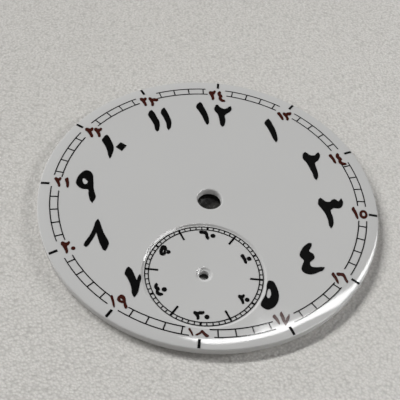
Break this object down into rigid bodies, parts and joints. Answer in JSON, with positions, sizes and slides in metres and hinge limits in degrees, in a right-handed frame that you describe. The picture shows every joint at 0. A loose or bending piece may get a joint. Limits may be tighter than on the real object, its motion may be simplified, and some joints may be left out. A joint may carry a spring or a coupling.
{
  "type": "watch dial",
  "caption": "Round white enamel watch dial with a rounded rim, railway minute track, centre hole, sunk seconds field at 6 o'clock and feet on the back.",
  "frame": {"origin": "on the axis of the centre hole, in the plane of the flat ring on which the back of the rim rests", "axes": "+Z along the centre hole out of the dial's front, +Y towards 12 o'clock, +X towards 3 o'clock"},
  "size_m": [0.0368, 0.0368, 0.0025],
  "materials": {
    "white_enamel": "gloss",
    "back_enamel": "semi-gloss",
    "black_paint": "gloss",
    "red_paint": "gloss",
    "copper": "satin",
    "braze": "satin"
  },
  "bodies": {
    "root": {"front_enamel": "white_enamel", "counter_enamel": "back_enamel", "minute_track": "black_paint", "hour_ticks": "black_paint", "seconds_track": "black_paint", "base_plate": "copper", "dial_foot_1": "copper", "dial_foot_2": "copper", "dial_foot_3": "copper", "foot_braze_1": "braze", "foot_braze_2": "braze", "foot_braze_3": "braze"}
  },
  "joints": []
}
